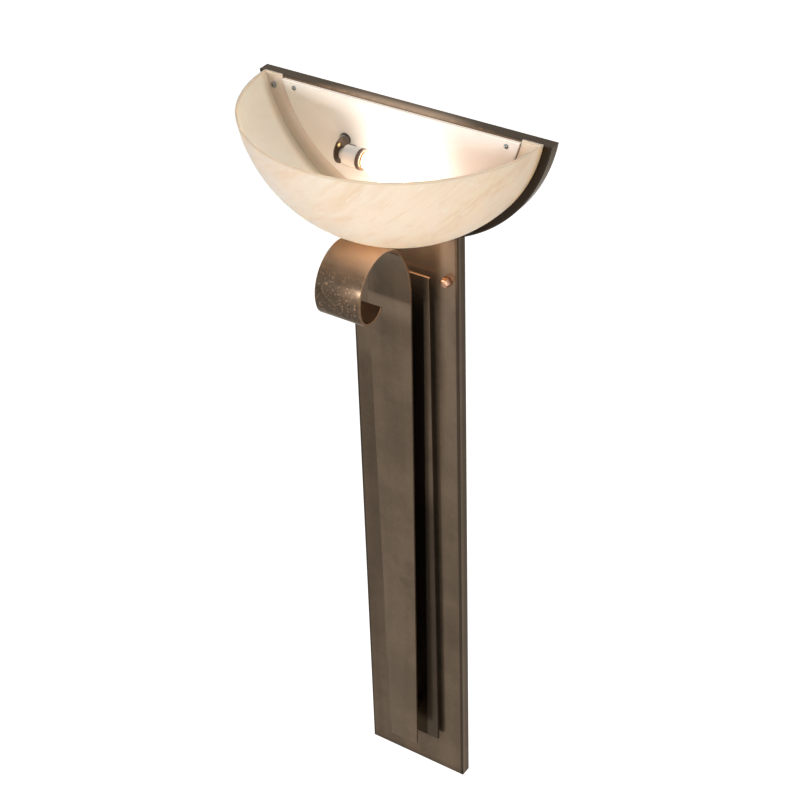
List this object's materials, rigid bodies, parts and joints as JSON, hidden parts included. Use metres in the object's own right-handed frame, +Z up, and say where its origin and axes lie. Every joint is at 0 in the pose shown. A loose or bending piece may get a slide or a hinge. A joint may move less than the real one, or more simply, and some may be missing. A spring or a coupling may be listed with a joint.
{
  "type": "wall sconce",
  "caption": "Tall wall light: a metal column with a standing strap that curls forward in a scroll, under a half-bowl shade open at the top, with a level lamp inside",
  "frame": {"origin": "on the wall plane at the middle of the crossbar, between its two box-screw slots", "axes": "+X to the viewer's right, +Y into the wall, +Z up; the light stands out towards -Y"},
  "size_m": [0.5246, 0.2637, 1.377],
  "materials": {
    "column": "satin oil-rubbed bronze, brushed and slightly mottled",
    "head": "satin oil-rubbed bronze with worn copper edges",
    "bar": "satin oil-rubbed bronze",
    "strap": "satin oil-rubbed bronze, speckled with copper on the scroll",
    "cap_nut": "worn copper",
    "shade": "translucent cream with soft peach swirls",
    "reflector": "satin white",
    "screw": "bright zinc",
    "zinc_steel": "zinc plated",
    "bracket": "dark bronze",
    "brass": "bright brass",
    "porcelain": "glazed white",
    "holder_ring": "dark brown, smooth",
    "holder_shell": "bright copper alloy",
    "black_wire": "insulated wire",
    "white_wire": "insulated wire",
    "bare_wire": "bare copper",
    "green_screw": "green dyed",
    "black_plastic": "plain",
    "lamp_base": "rolled thread",
    "lamp_glass": "frosted",
    "lamp_mount": "stem and supports"
  },
  "bodies": {
    "fixture": {"column_pan": "column", "head_face": "head", "head_band": "head", "splice_plate": "zinc_steel", "middle_bar": "bar", "scroll_strap": "strap", "bar_spacers": "bar", "strap_spacers": "strap", "strap_studs": "zinc_steel", "strap_washers": "zinc_steel", "strap_nuts": "zinc_steel", "wall_crossbar": "zinc_steel", "mounting_studs": "zinc_steel", "stud_nuts": "zinc_steel", "cap_nuts": "cap_nut", "shade": "shade", "shade_screws": "screw", "shade_washers": "screw", "reflector": "reflector", "reflector_screws": "screw", "socket_bracket": "bracket", "nipple": "zinc_steel", "nipple_nuts": "zinc_steel", "lock_washer": "zinc_steel", "terminal_screw": "brass", "socket_body": "porcelain", "socket_ring": "holder_ring", "socket_shell": "holder_shell", "socket_contact": "brass", "black_lead": "black_wire", "white_lead": "white_wire", "ground_lead": "bare_wire", "ground_screw": "green_screw", "wire_nuts": "black_plastic"},
    "lamp": {"lamp_base": "lamp_base", "lamp_insulator": "black_plastic", "lamp_tip": "brass", "lamp_glass": "lamp_glass", "lamp_filament": "lamp_mount"}
  },
  "joints": [
    {"name": "lamp_out", "type": "slide", "parent": "fixture", "child": "lamp", "axis": [1, 0, 0], "range_m": [0, 0.03]}
  ]
}
